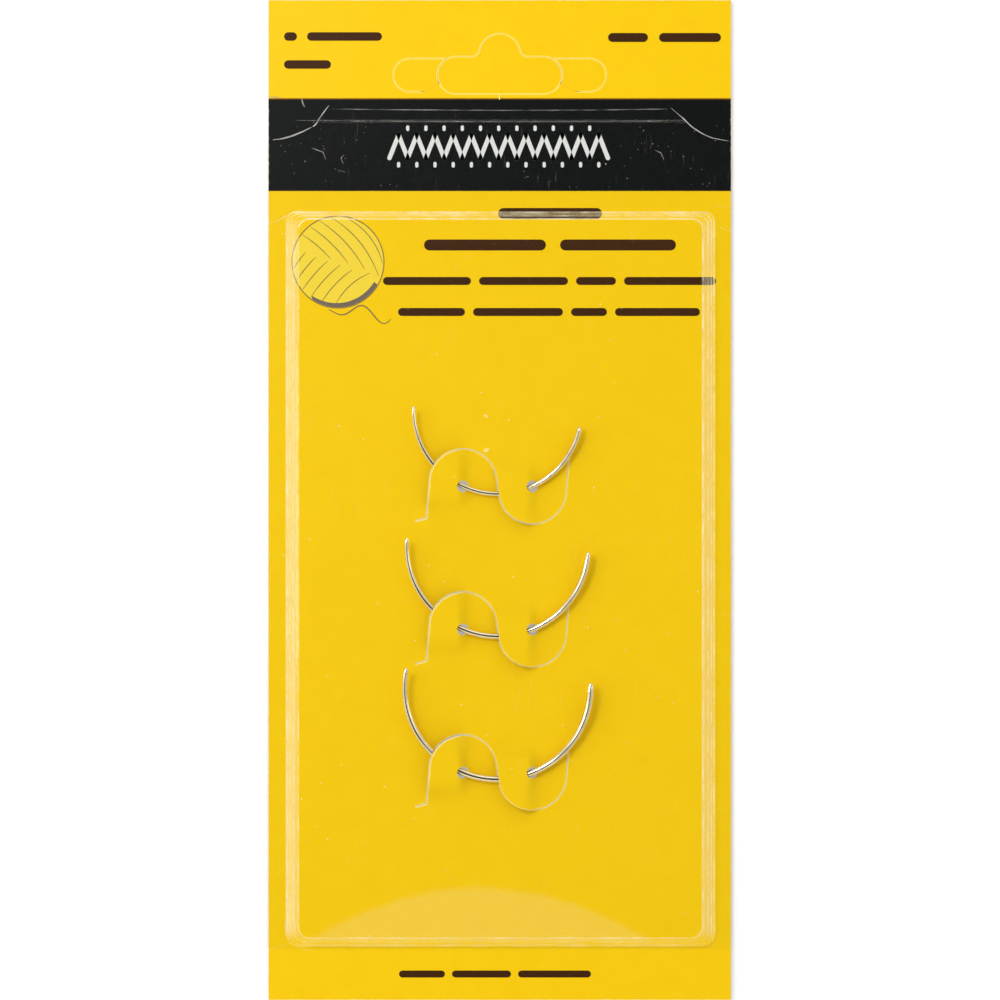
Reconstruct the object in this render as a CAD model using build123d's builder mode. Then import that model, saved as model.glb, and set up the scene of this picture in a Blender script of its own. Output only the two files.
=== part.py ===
from build123d import *
import os
from dataclasses import dataclass
from math import acos, asin, atan2, cos, degrees, hypot, radians, sin, sqrt

# A carded set of three curved tapestry needles under a clear slide-on cover.
# The card lies on its back: +Z is out of its printed face, +Y is towards the hang hole,
# and the origin is under the middle of the card, on what it lies on.
# Sizes are in millimetres and angles in degrees.

# Backing card
card_width = 68.0
card_height = 147.0
board = 0.45
kerf = 0.15

# Hang hole: a hat-shaped flap between two wings, all still in the card
hang_drop = 11.05
hang_flap_width = 18.2
hang_flap_height = 5.35
hang_head_radius = 3.0
hang_head_rise = 3.05
hang_head_blend = 1.2
wing_span = 31.2
wing_height = 4.8
wing_slit_reach = 11.2
crease_gap = 0.05

# Weaving rows: each has two tongues that point opposite ways, with a punched hole in each
row_pitch = 21.0
middle_row_drop = 19.0
row_shift = -0.3
tongue_reach = 5.1
tongue_stagger = 0.55
tongue_radius_share = 0.97
tongue_root_share = 0.82
tongue_side_flare = 0.45
tail_length = 1.6
tail_drop = 0.4
hole_diameter = 1.7
tongue_ease_share = 0.42
fade_steps = 3
step_shares = ((-1, 1), (-0.5, 0.86), (0, 0.5), (0.5, 0.14), (1, 0))
tongue_gap = 0.12

# Needles, by gauge: the higher number is the finer needle
needle_24_diameter = 0.76
needle_24_length = 36.8
needle_24_bend_radius = 12.3
needle_22_diameter = 0.9
needle_22_length = 42.2
needle_22_bend_radius = 13.3
needle_20_diameter = 1.02
needle_20_length = 46.4
needle_20_bend_radius = 13.6
needle_24_point_angle = 177.2
needle_22_point_angle = 174.6
needle_20_point_angle = 167.6
needle_gap = 0.05
arm_rise_angle = 5.5

# Shares of a needle's length and diameter: rows of place, width, thickness and eye width
bend_steps = 10
taper_length_share = 0.26
taper_shares = (
    (0, 0.36),
    (0.012, 0.6),
    (0.035, 0.7),
    (0.28, 0.8),
    (0.52, 0.9),
    (0.76, 0.97),
)
head_length_share = 0.2
neck_shares = ((0, 1, 1), (0.24, 1.1, 0.93))
eye_shares = (
    (0.24, 1.1, 0.93, 0),
    (0.36, 1.2, 0.87, 0.5),
    (0.55, 1.3, 0.8, 0.55),
    (0.74, 1.31, 0.78, 0.5),
    (0.86, 1.24, 0.77, 0),
)
crown_shares = ((0.86, 1.24, 0.77), (0.95, 1.08, 0.68), (1, 0.75, 0.48))

# Clear cover: a flange on the card's face, a raised panel, and rails folded behind the card
film = 0.25
cover_gap = 0.1
rail_width = 5.0
fold_radius = 0.32
cover_top_margin = 16.0
cover_foot_margin = 7.5
head_flange = 15.0
foot_flange = 0.5
side_flange = 2.4
side_wall_run = 1.85
end_wall_run = 1.35
panel_headroom = 0.25
panel_corner_radius = 2.0
panel_edge_radius = 0.8
notch_radius = 8.8
notch_rise = 3.9
bead_drop = 1.9
bead_radius = 0.3

overrun = 1.0


@dataclass
class Needle:
    """One gauge of needle and the row that it is woven into."""

    diameter: float
    length: float
    bend_radius: float
    point_angle: float
    row_y: float


# Heights, from what the pack lies on
card_back = film + cover_gap
card_face = card_back + board
flange_back = card_face + cover_gap
flange_face = flange_back + film

# Tongue outline, worked out about the row's centre
tongue_radius = tongue_radius_share * hypot(tongue_reach, tongue_stagger)
tongue_root = tongue_stagger + tongue_root_share * tongue_radius
tongue_side = tongue_reach + tongue_radius
neck_angle = degrees(acos(tongue_radius_share) - atan2(tongue_stagger, tongue_reach))
hole_radius = hole_diameter / 2
left_centre = Vector(-tongue_reach, tongue_stagger)
right_centre = Vector(tongue_reach, -tongue_stagger)

needles = {
    "needle_size_24": Needle(
        needle_24_diameter,
        needle_24_length,
        needle_24_bend_radius,
        needle_24_point_angle,
        row_pitch - middle_row_drop,
    ),
    "needle_size_22": Needle(
        needle_22_diameter,
        needle_22_length,
        needle_22_bend_radius,
        needle_22_point_angle,
        -middle_row_drop,
    ),
    "needle_size_20": Needle(
        needle_20_diameter,
        needle_20_length,
        needle_20_bend_radius,
        needle_20_point_angle,
        -row_pitch - middle_row_drop,
    ),
}


def around(centre, radius, angle):
    """The point of a circle at an angle from +X."""
    return centre + Vector(cos(radians(angle)), sin(radians(angle))) * radius


def needle_plane(needle):
    """The plane of a needle's arc: its origin is the arc's centre and its belly is on the card."""
    rise = radians(arm_rise_angle)
    centre_over_holes = sqrt(needle.bend_radius**2 - tongue_reach**2) * cos(rise)
    belly = card_face + needle_gap + needle.diameter / 2
    origin = (row_shift, needle.row_y + centre_over_holes, belly + needle.bend_radius * sin(rise))
    return Plane(origin=origin, x_dir=(1, 0, 0), z_dir=(0, -sin(rise), cos(rise)))


def needle_lift(needle, x):
    """How far the needle's arc has risen off the card, this far to the side of its belly."""
    bend = needle.bend_radius
    return (bend - sqrt(max(bend**2 - x**2, 0))) * sin(radians(arm_rise_angle))


def arc_station(plane, radius, angle):
    """The plane across a needle at an angle of its arc: local X is square to the arc's plane."""
    outward = plane.x_dir * cos(radians(angle)) + plane.y_dir * sin(radians(angle))
    along = plane.y_dir * cos(radians(angle)) - plane.x_dir * sin(radians(angle))
    return Plane(origin=plane.origin + outward * radius, x_dir=plane.z_dir, z_dir=along)


def needle_path(needle, clearance):
    """The whole ring that a needle slides round in, with clearance all round it."""
    plane = needle_plane(needle)
    with BuildPart() as ring:
        with BuildSketch(arc_station(plane, needle.bend_radius, 0)):
            Circle(needle.diameter / 2 + clearance)
        revolve(axis=Axis(plane.origin, plane.z_dir))
    return ring.part


def make_needle(name, needle):
    """A blunt tapered point, a round shaft and a flattened head with a long eye, bent to one arc."""
    plane = needle_plane(needle)
    radius = needle.diameter / 2
    span = degrees(needle.length / needle.bend_radius)
    taper_span = span * taper_length_share
    head_span = span * head_length_share
    shaft_start = needle.point_angle + taper_span
    head_start = needle.point_angle + span - head_span

    # Rows of angle round the arc, width square to the arc's plane and thickness
    shaft = [(needle.point_angle + taper_span * place, wide, wide) for place, wide in taper_shares]
    for step in range(bend_steps):
        shaft.append((shaft_start + (head_start - shaft_start) * step / bend_steps, 1, 1))
    shaft += [(head_start + head_span * place, wide, thick) for place, wide, thick in neck_shares]
    crown = [(head_start + head_span * place, wide, thick) for place, wide, thick in crown_shares]

    with BuildPart() as body:
        for stations in (shaft, crown):
            for angle, wide, thick in stations:
                with BuildSketch(arc_station(plane, needle.bend_radius, angle)):
                    Ellipse(radius * wide, radius * thick)
            loft(ruled=True)
        # The two cheeks of the eye part at its start and meet again at its end
        for side in (-1, 1):
            for place, wide, thick, eye in eye_shares:
                angle = head_start + head_span * place
                with BuildSketch(arc_station(plane, needle.bend_radius, angle)):
                    Ellipse(radius * wide, radius * thick)
                    with Locations((side * radius * (eye + wide), 0)):
                        Rectangle(2 * radius * wide, 2 * radius, mode=Mode.INTERSECT)
            loft(ruled=True)
    body.part.label = name
    return body.part


def tongue_cut():
    """The S-shaped cut that frees both tongues of a row, about the row's centre."""
    left_tail = Vector(-tongue_side - tongue_side_flare, -tongue_root)
    left_end = left_tail + Vector(-tail_length, -tail_drop)
    with BuildSketch() as cut:
        with BuildLine():
            Line(left_end, left_tail)
            Line(left_tail, around(left_centre, tongue_radius, 180))
            CenterArc(left_centre, tongue_radius, 180, neck_angle - 180)
            Line(
                around(left_centre, tongue_radius, neck_angle),
                around(right_centre, tongue_radius, neck_angle + 180),
            )
            CenterArc(right_centre, tongue_radius, neck_angle + 180, 180 - neck_angle)
            Line(around(right_centre, tongue_radius, 0), -left_tail)
            Line(-left_tail, -left_end)
        trace(line_width=kerf)
    return cut.sketch


def lifted_area(side):
    """The part of a tongue that bends up over the needle: side -1 is the left tongue, 1 the right."""
    ease = tongue_radius * tongue_ease_share
    if side < 0:
        corner = Vector(-tongue_side - tongue_side_flare, -tongue_root)
        top = degrees(acos(tongue_ease_share))
        with BuildSketch() as area:
            with BuildLine():
                Line(corner, around(left_centre, tongue_radius, 180))
                CenterArc(left_centre, tongue_radius, 180, top - 180)
                Polyline(
                    around(left_centre, tongue_radius, top),
                    (ease - tongue_reach, -tongue_root),
                    corner,
                )
            make_face()
        return area.sketch
    foot = -degrees(acos(tongue_ease_share))
    root = degrees(asin(tongue_root_share))
    with BuildSketch() as area:
        with BuildLine():
            CenterArc(left_centre, tongue_radius, neck_angle, root - neck_angle)
            Polyline(
                around(left_centre, tongue_radius, root),
                (tongue_reach + ease, tongue_root),
                around(right_centre, tongue_radius, foot),
            )
            CenterArc(right_centre, tongue_radius, foot, neck_angle - 180 - foot)
            Line(
                around(right_centre, tongue_radius, neck_angle - 180),
                around(left_centre, tongue_radius, neck_angle),
            )
        make_face()
    return area.sketch


def lifted_tongue(needle, side):
    """The sheet that starts level at a tongue's root and rises over the needle up to its hole."""
    centre = left_centre if side < 0 else right_centre
    hole_x = centre.X
    ease = tongue_radius * tongue_ease_share
    left_x = lifted_area(side).bounding_box().min.X - overrun
    right_x = hole_x + ease + overrun
    cover_needle = board + needle_gap + needle.diameter + tongue_gap
    lift_left = cover_needle + needle_lift(needle, left_x)
    lift_hole = cover_needle + needle_lift(needle, hole_x - hole_radius)
    slope = (lift_left - lift_hole) / (hole_x - hole_radius - left_x)
    root_y = side * tongue_root
    hole_y = side * hole_radius
    free_y = centre.Y - side * (tongue_radius + overrun)

    # Each station: its place, its share of the lift and half the width of the step at the hole
    stations = [(root_y + side * overrun, 0, hole_radius)]
    for step in range(fade_steps + 1):
        run = step / fade_steps
        stations.append((root_y + (hole_y - root_y) * run, run**2 * (3 - 2 * run), hole_radius))
    stations.append((-hole_y, 1, hole_radius))
    stations.append((free_y, 1, ease))

    sections = []
    for y, share, step in stations:
        step_lift = (lift_hole + slope * (step - hole_radius)) * share
        bottom = [(left_x, card_back + lift_left * share)]
        bottom += [(hole_x + step * at, card_back + step_lift * up) for at, up in step_shares]
        bottom.append((right_x, card_back))
        top = [(x, z + board) for x, z in reversed(bottom)]
        outline = [(x, needle.row_y + y, z) for x, z in bottom + top]
        sections.append(Face(Wire.make_polygon(outline)))

    with BuildPart() as sheet:
        loft(sections, ruled=True)
        with BuildSketch(Plane((0, needle.row_y, 0))) as area:
            add(lifted_area(side))
        extrude(amount=card_face + lift_left + overrun, mode=Mode.INTERSECT)
    with BuildPart() as placed:
        with Locations((row_shift, 0, 0)):
            add(sheet.part)
        add(needle_path(needle, tongue_gap), mode=Mode.SUBTRACT)
    return placed.part


# Hang hole outlines, about the card's own axes
hang_y = card_height / 2 - hang_drop
flap_end_radius = hang_flap_height / 2
flap_end = Vector(flap_end_radius - hang_flap_width / 2, hang_y)
slit_end = Vector(-wing_slit_reach, hang_y - wing_height / 2)
crease_top = flap_end + (slit_end - flap_end).normalized() * flap_end_radius


def flap_outline(grow):
    """The hat shape of the middle flap, larger all round by grow."""
    with BuildSketch() as hat:
        with Locations((0, hang_y)):
            SlotOverall(hang_flap_width, hang_flap_height)
        with Locations(Location((0, hang_y + hang_head_rise, 0), (0, 0, 90))):
            Circle(hang_head_radius)
        shoulders = hat.vertices().filter_by(lambda v: v.Y > hang_y)
        fillet(shoulders.sort_by(lambda v: abs(abs(v.X) - hang_head_radius))[:2], hang_head_blend)
        if grow:
            offset(amount=grow)
    return hat.sketch


def beyond_crease(gap):
    """Everything on the left wing's side of its crease, less a gap."""
    along = (crease_top - slit_end).normalized()
    across = Vector(-along.Y, along.X)
    start = slit_end + across * gap
    with BuildSketch() as side:
        with BuildLine():
            Polyline(
                start - along * wing_span,
                start + along * wing_span,
                start + along * wing_span + across * wing_span,
                start - along * wing_span + across * wing_span,
                close=True,
            )
        make_face()
    return side.sketch


def wing_outline(grow, gap):
    """The left wing between its slit, the middle flap's end and its crease, larger by grow."""
    with BuildSketch() as wing:
        with Locations((0, hang_y)):
            SlotOverall(wing_span + 2 * grow, wing_height + 2 * grow)
        add(beyond_crease(gap), mode=Mode.INTERSECT)
        with Locations((0, hang_y)):
            Rectangle(-2 * flap_end.X, card_height, mode=Mode.SUBTRACT)
        with Locations((wing_span, hang_y)):
            Rectangle(2 * wing_span, card_height, mode=Mode.SUBTRACT)
        add(flap_outline(kerf), mode=Mode.SUBTRACT)
    return wing.sketch


os.makedirs("parts", exist_ok=True)

# The card, with its die cuts and its lifted tongues
with BuildPart() as backing_card:
    with BuildSketch(Plane.XY.offset(card_back)):
        Rectangle(card_width, card_height)
        add(flap_outline(kerf), mode=Mode.SUBTRACT)
        add(wing_outline(kerf, 0), mode=Mode.SUBTRACT)
        mirror(wing_outline(kerf, 0), about=Plane.YZ, mode=Mode.SUBTRACT)
    extrude(amount=board)
    for needle in needles.values():
        row = Plane((row_shift, needle.row_y, card_back))
        with BuildSketch(row):
            add(tongue_cut())
            add(lifted_area(-1))
            add(lifted_area(1))
        extrude(amount=board, mode=Mode.SUBTRACT)
        for side in (-1, 1):
            add(lifted_tongue(needle, side))
        with BuildSketch(row.offset(-overrun)):
            add(tongue_cut())
            with Locations((-tongue_reach, 0), (tongue_reach, 0)):
                Circle(hole_radius)
        extrude(amount=flange_face + board + needle.bend_radius, mode=Mode.SUBTRACT)
backing_card.part.label = "backing_card"
export_step(backing_card.part, "parts/backing_card.step")

# The die-cut flaps that a peg pushes out of the hang hole
with BuildPart() as hang_flap:
    with BuildSketch(Plane.XY.offset(card_back)):
        add(flap_outline(0))
    extrude(amount=board)
hang_flap.part.label = "hang_flap"
export_step(hang_flap.part, "parts/hang_flap.step")

with BuildPart() as hang_wing_left:
    with BuildSketch(Plane.XY.offset(card_back)):
        add(wing_outline(0, crease_gap))
    extrude(amount=board)
hang_wing_left.part.label = "hang_wing_left"
export_step(hang_wing_left.part, "parts/hang_wing_left.step")

with BuildPart() as hang_wing_right:
    with BuildSketch(Plane.XY.offset(card_back)):
        mirror(wing_outline(0, crease_gap), about=Plane.YZ)
    extrude(amount=board)
hang_wing_right.part.label = "hang_wing_right"
export_step(hang_wing_right.part, "parts/hang_wing_right.step")

# The three needles
for name, needle in needles.items():
    export_step(make_needle(name, needle), f"parts/{name}.step")

# The clear cover, folded from one film
cover_half_width = card_width / 2 + cover_gap + film
cover_top = card_height / 2 - cover_top_margin
cover_foot = cover_foot_margin - card_height / 2
cover_length = cover_top - cover_foot
panel_width = card_width - 2 * side_flange
panel_length = cover_length - head_flange - foot_flange
panel_y = cover_foot + foot_flange + panel_length / 2


def swing_height(needle):
    """The height of the highest point that a needle's head reaches as it slides round its arc."""
    head_width = max(width for place, width, thickness, eye in eye_shares)
    plane = needle_plane(needle)
    return plane.origin.Z + needle.bend_radius * plane.y_dir.Z + head_width * needle.diameter / 2


panel_back = max(swing_height(needle) for needle in needles.values()) + panel_headroom


def panel_block(inset, bottom, top):
    """The raised panel as a solid block with sloping walls, smaller by inset."""
    with BuildPart() as block:
        with BuildSketch(Plane((0, panel_y, bottom))):
            RectangleRounded(
                panel_width - 2 * inset, panel_length - 2 * inset, panel_corner_radius - inset
            )
        with BuildSketch(Plane((0, panel_y, top))):
            RectangleRounded(
                panel_width - 2 * side_wall_run - 2 * inset,
                panel_length - 2 * end_wall_run - 2 * inset,
                panel_corner_radius - inset,
            )
        loft(ruled=True)
        fillet(block.faces().sort_by(Axis.Z)[-1].edges(), panel_edge_radius - inset)
    return block.part


with BuildPart() as blister_cover:
    with BuildSketch(Plane.XZ.offset(-cover_top)) as fold:
        with Locations((0, flange_face / 2)):
            Rectangle(2 * cover_half_width, flange_face)
        fillet(fold.vertices(), fold_radius)
        with Locations((0, (film + flange_back) / 2)):
            Rectangle(card_width + 2 * cover_gap, flange_back - film, mode=Mode.SUBTRACT)
        Rectangle(2 * (cover_half_width - rail_width), 2 * film, mode=Mode.SUBTRACT)
    extrude(amount=cover_length)
    add(panel_block(0, flange_back, panel_back + film))
    add(panel_block(film, flange_back - film, panel_back), mode=Mode.SUBTRACT)
    # A stiffening bead near the head, and the corners cut away beside it
    with Locations(Plane((0, cover_top - bead_drop, flange_back + bead_radius), z_dir=(1, 0, 0))):
        Cylinder(bead_radius, card_width)
    with BuildSketch(Plane.XY.offset(-overrun)):
        with Locations(
            (-card_width / 2, cover_top + notch_rise), (card_width / 2, cover_top + notch_rise)
        ):
            Circle(notch_radius)
    extrude(amount=panel_back + overrun, mode=Mode.SUBTRACT)
blister_cover.part.label = "blister_cover"
export_step(blister_cover.part, "parts/blister_cover.step")
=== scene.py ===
import math
import random

import bmesh
import bpy
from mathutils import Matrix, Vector
from mathutils.bvhtree import BVHTree


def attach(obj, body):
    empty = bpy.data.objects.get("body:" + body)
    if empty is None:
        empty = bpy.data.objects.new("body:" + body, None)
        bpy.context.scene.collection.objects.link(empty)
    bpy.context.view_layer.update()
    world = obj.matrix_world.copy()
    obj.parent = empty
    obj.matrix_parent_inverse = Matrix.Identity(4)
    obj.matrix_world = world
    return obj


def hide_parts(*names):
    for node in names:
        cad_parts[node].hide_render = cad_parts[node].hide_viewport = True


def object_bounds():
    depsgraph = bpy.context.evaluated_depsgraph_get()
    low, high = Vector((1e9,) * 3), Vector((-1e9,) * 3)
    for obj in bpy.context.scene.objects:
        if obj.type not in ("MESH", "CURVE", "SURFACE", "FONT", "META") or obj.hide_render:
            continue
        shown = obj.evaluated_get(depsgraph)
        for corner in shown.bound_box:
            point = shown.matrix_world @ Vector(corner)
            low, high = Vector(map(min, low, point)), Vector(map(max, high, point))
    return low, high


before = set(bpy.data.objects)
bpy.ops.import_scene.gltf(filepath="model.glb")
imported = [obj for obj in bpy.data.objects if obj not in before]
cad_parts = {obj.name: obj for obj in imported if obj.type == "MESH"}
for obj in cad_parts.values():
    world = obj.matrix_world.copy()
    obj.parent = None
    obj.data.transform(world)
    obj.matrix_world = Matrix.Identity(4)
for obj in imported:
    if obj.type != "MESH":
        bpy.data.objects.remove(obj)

# Lengths are in millimetres until they become mesh points, which are in metres. MM is one
# millimetre in metres, and PX is one pixel of the photograph on the card, in millimetres.
MM = 0.001
PX = 0.147
FRAME_MIDDLE, CARD_MIDDLE_X = 500, 499.75
CARD_FACE = 0.8
CARD_HALF_WIDTH, CARD_HALF_HEIGHT = 34.0, 73.5
BAND_LOW, BAND_HIGH = 45.41, 58.95
KERF = 0.15
WHITE = (1, 1, 1, 1)
card_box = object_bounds()
random.seed(24)


def photo(x, y):
    """Where a pixel of the photograph lies on the card's face."""
    return Vector(((x - CARD_MIDDLE_X) * PX, (FRAME_MIDDLE - y) * PX))


class Shader:
    """A node material, written one node at a time."""

    def __init__(self, name, store=None):
        self.mat = (bpy.data.materials if store is None else store).new(name)
        self.mat.use_nodes = True
        self.tree = self.mat.node_tree
        self.tree.nodes.clear()

    def node(self, kind, inputs=None, **settings):
        made = self.tree.nodes.new("ShaderNode" + kind)
        for key, value in settings.items():
            setattr(made, key, value)
        for key, value in (inputs or {}).items():
            self.put(made.inputs[key], value)
        return made

    def put(self, socket, value):
        if isinstance(value, bpy.types.NodeSocket):
            self.tree.links.new(value, socket)
        else:
            socket.default_value = value

    def math(self, operation, a, b=None, clamp=False):
        made = self.node("Math", operation=operation, use_clamp=clamp)
        self.put(made.inputs[0], a)
        if b is not None:
            self.put(made.inputs[1], b)
        return made.outputs[0]

    def times(self, a, b, clamp=False):
        return self.math("MULTIPLY", a, b, clamp)

    def plus(self, a, b, clamp=False):
        return self.math("ADD", a, b, clamp)

    def minus(self, a, b):
        return self.math("SUBTRACT", a, b)

    def either(self, *values):
        """The highest of some values."""
        highest = values[0]
        for value in values[1:]:
            highest = self.math("MAXIMUM", highest, value)
        return highest

    def ramp(self, value, low, high, to_low=0.0, to_high=1.0, smooth=False):
        """A value between low and high, mapped to a value between to_low and to_high."""
        made = self.node(
            "MapRange",
            {"Value": value, "From Min": low, "From Max": high, "To Min": to_low, "To Max": to_high},
            interpolation_type="SMOOTHSTEP" if smooth else "LINEAR",
        )
        return made.outputs[0]

    def mix(self, share, a, b):
        """A colour from a to b."""
        made = self.node("Mix", data_type="RGBA")
        self.put(made.inputs[0], share)
        self.put(made.inputs[6], a if isinstance(a, bpy.types.NodeSocket) else (*a, 1))
        self.put(made.inputs[7], b if isinstance(b, bpy.types.NodeSocket) else (*b, 1))
        return made.outputs[2]

    def noise(self, place, scale, detail=3.0, rough=0.5, distortion=0.0):
        made = self.node("TexNoise", {
            "Vector": place, "Scale": scale, "Detail": detail, "Roughness": rough, "Distortion": distortion,
        })
        return made.outputs["Fac"]

    def stretched(self, place, scale, turn=0.0):
        """A place scaled along each axis and then turned about Z."""
        return self.node("Mapping", {"Vector": place, "Rotation": (0, 0, turn), "Scale": scale}).outputs[0]

    def place(self):
        """Object coordinates in millimetres, and the normal."""
        coord = self.node("TexCoord")
        scaled = self.node("VectorMath", operation="SCALE")
        self.put(scaled.inputs[0], coord.outputs["Object"])
        scaled.inputs["Scale"].default_value = 1 / MM
        return scaled.outputs[0], coord.outputs["Normal"]

    def split(self, vector):
        return self.node("SeparateXYZ", {"Vector": vector}).outputs

    def bump(self, height, distance, strength=1.0):
        made = self.node("Bump", {"Height": height, "Distance": distance, "Strength": strength})
        return made.outputs[0]

    def unseen(self):
        """1 for shadow and diffuse rays, which pass the film as if it weren't there."""
        rays = self.node("LightPath").outputs
        return self.either(rays["Is Shadow Ray"], rays["Is Diffuse Ray"])

    def finish(self, shader):
        self.node("OutputMaterial", {"Surface": shader})
        return self.mat

    def finish_plain(self, **inputs):
        """A Principled surface, with its socket names written with _ for spaces."""
        inputs = {key.replace("_", " "): value for key, value in inputs.items()}
        return self.finish(self.node("BsdfPrincipled", inputs).outputs[0])


def board_material(name):
    """Coated board: yellow print with a black band on the face, cream cut edges, raw grey back."""
    s = Shader(name)
    place, normal = s.place()
    x, y, _ = s.split(place)
    up = s.split(normal)[2]
    face = s.ramp(up, 0.5, 0.6)
    back = s.ramp(up, -0.6, -0.5, 1.0, 0.0)
    cream = (0.93, 0.8, 0.5)

    # The print: faint mottle, a soft-edged black band and a thin brown line where the inks overlap
    grain = s.noise(place, 9.0, 2.0, 0.6)
    mottle = s.ramp(s.noise(place, 0.35, 4.0, 0.6), 0.3, 0.7, -0.5, 0.5)
    tone = s.plus(mottle, s.ramp(grain, 0.3, 0.7, -0.35, 0.35))
    yellow = s.mix(s.plus(s.times(tone, 0.35), 0.5), (0.925, 0.565, 0.003), (0.97, 0.63, 0.007))
    black = s.mix(s.ramp(grain, 0.35, 0.75), (0.004, 0.005, 0.0048), (0.008, 0.0095, 0.009))
    edge_y = s.plus(y, s.times(s.minus(s.noise(place, 2.2, 3.0), 0.5), 0.06))
    band = s.times(
        s.ramp(edge_y, BAND_LOW - 0.05, BAND_LOW + 0.05),
        s.ramp(edge_y, BAND_HIGH - 0.05, BAND_HIGH + 0.04, 1.0, 0.0),
    )
    overlap = s.times(
        s.ramp(edge_y, BAND_HIGH - 0.15, BAND_HIGH - 0.07),
        s.ramp(edge_y, BAND_HIGH + 0.09, BAND_HIGH + 0.17, 1.0, 0.0),
    )
    ink = s.mix(s.times(overlap, 0.8), s.mix(band, yellow, black), (0.11, 0.03, 0.006))

    # Rubbed edges of the card show the board through the print
    rim = s.math(
        "MINIMUM",
        s.minus(CARD_HALF_WIDTH, s.math("ABSOLUTE", x)),
        s.minus(CARD_HALF_HEIGHT, s.math("ABSOLUTE", y)),
    )
    kept = s.ramp(s.noise(place, 1.6, 5.0, 0.7), 0.4, 0.62, 0.35, 1.1)
    rub = s.minus(s.ramp(rim, 0.0, 0.3, 1.0, 0.0), kept)
    ink = s.mix(s.times(s.either(rub, 0.0), 0.7, clamp=True), ink, cream)

    # Cut edges are pressed layers of pale board, and the back is raw board with fibres
    layers = s.node(
        "TexWave",
        {"Vector": place, "Scale": 3.2, "Distortion": 1.4, "Detail": 2.0},
        bands_direction="Z",
    ).outputs["Fac"]
    cut = s.mix(s.ramp(layers, 0.1, 0.9, 0.0, 0.55), cream, (0.86, 0.66, 0.24))
    fibre = s.noise(s.stretched(place, (1.0, 0.22, 1.0)), 6.0, 6.0, 0.75, 0.8)
    raw = s.mix(s.ramp(fibre, 0.35, 0.68), (0.52, 0.47, 0.39), (0.72, 0.68, 0.6))
    flecks = s.ramp(s.noise(place, 3.4, 3.0, 0.6), 0.68, 0.72)
    raw = s.mix(s.times(flecks, 0.5), raw, (0.3, 0.24, 0.17))

    relief = s.plus(s.times(fibre, s.minus(1.0, face)), s.times(grain, 0.15))
    return s.finish_plain(
        Base_Color=s.mix(face, s.mix(back, cut, raw), ink),
        Roughness=s.plus(s.ramp(face, 0.0, 1.0, 0.85, 0.3), s.ramp(grain, 0.3, 0.7, -0.06, 0.06)),
        Specular_IOR_Level=0.12,
        Normal=s.bump(relief, 0.02 * MM, 0.6),
    )


def ink_material(name, low, high):
    """Flat offset ink with a fine uneven tone."""
    s = Shader(name)
    grain = s.noise(s.place()[0], 5.0, 4.0, 0.65)
    return s.finish_plain(
        Base_Color=s.mix(s.ramp(grain, 0.3, 0.7), low, high),
        Roughness=s.ramp(grain, 0.3, 0.7, 0.34, 0.48),
        Specular_IOR_Level=0.12,
        Normal=s.bump(grain, 0.004 * MM, 0.4),
    )


def fibre_and_highlight_material(name, low, high):
    """Torn paper fibre along a die cut, pale: partly the board's own pale core and partly a painted highlight
    where the raised edge catches the light.
    """
    s = Shader(name)
    fibre = s.noise(s.place()[0], 7.0, 5.0, 0.7, 0.6)
    return s.finish_plain(
        Base_Color=s.mix(s.ramp(fibre, 0.3, 0.7), low, high),
        Roughness=s.ramp(fibre, 0.3, 0.7, 0.7, 0.9),
        Normal=s.bump(fibre, 0.02 * MM, 0.7),
    )


def nickel_material(name):
    """Bright nickel plate with fine polishing marks and a few dull patches, its base colour warmed towards
    yellow as a painted reflection of the yellow card.
    """
    s = Shader(name)
    place, _ = s.place()
    patch = s.noise(place, 0.8, 4.0, 0.6)
    return s.finish_plain(
        Base_Color=s.mix(s.ramp(patch, 0.3, 0.7), (0.84, 0.74, 0.51), (0.94, 0.86, 0.63)),
        Metallic=1.0,
        Roughness=s.ramp(patch, 0.3, 0.75, 0.07, 0.15),
        Normal=s.bump(s.noise(place, 22.0, 3.0, 0.6), 0.002 * MM, 0.3),
    )


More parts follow.
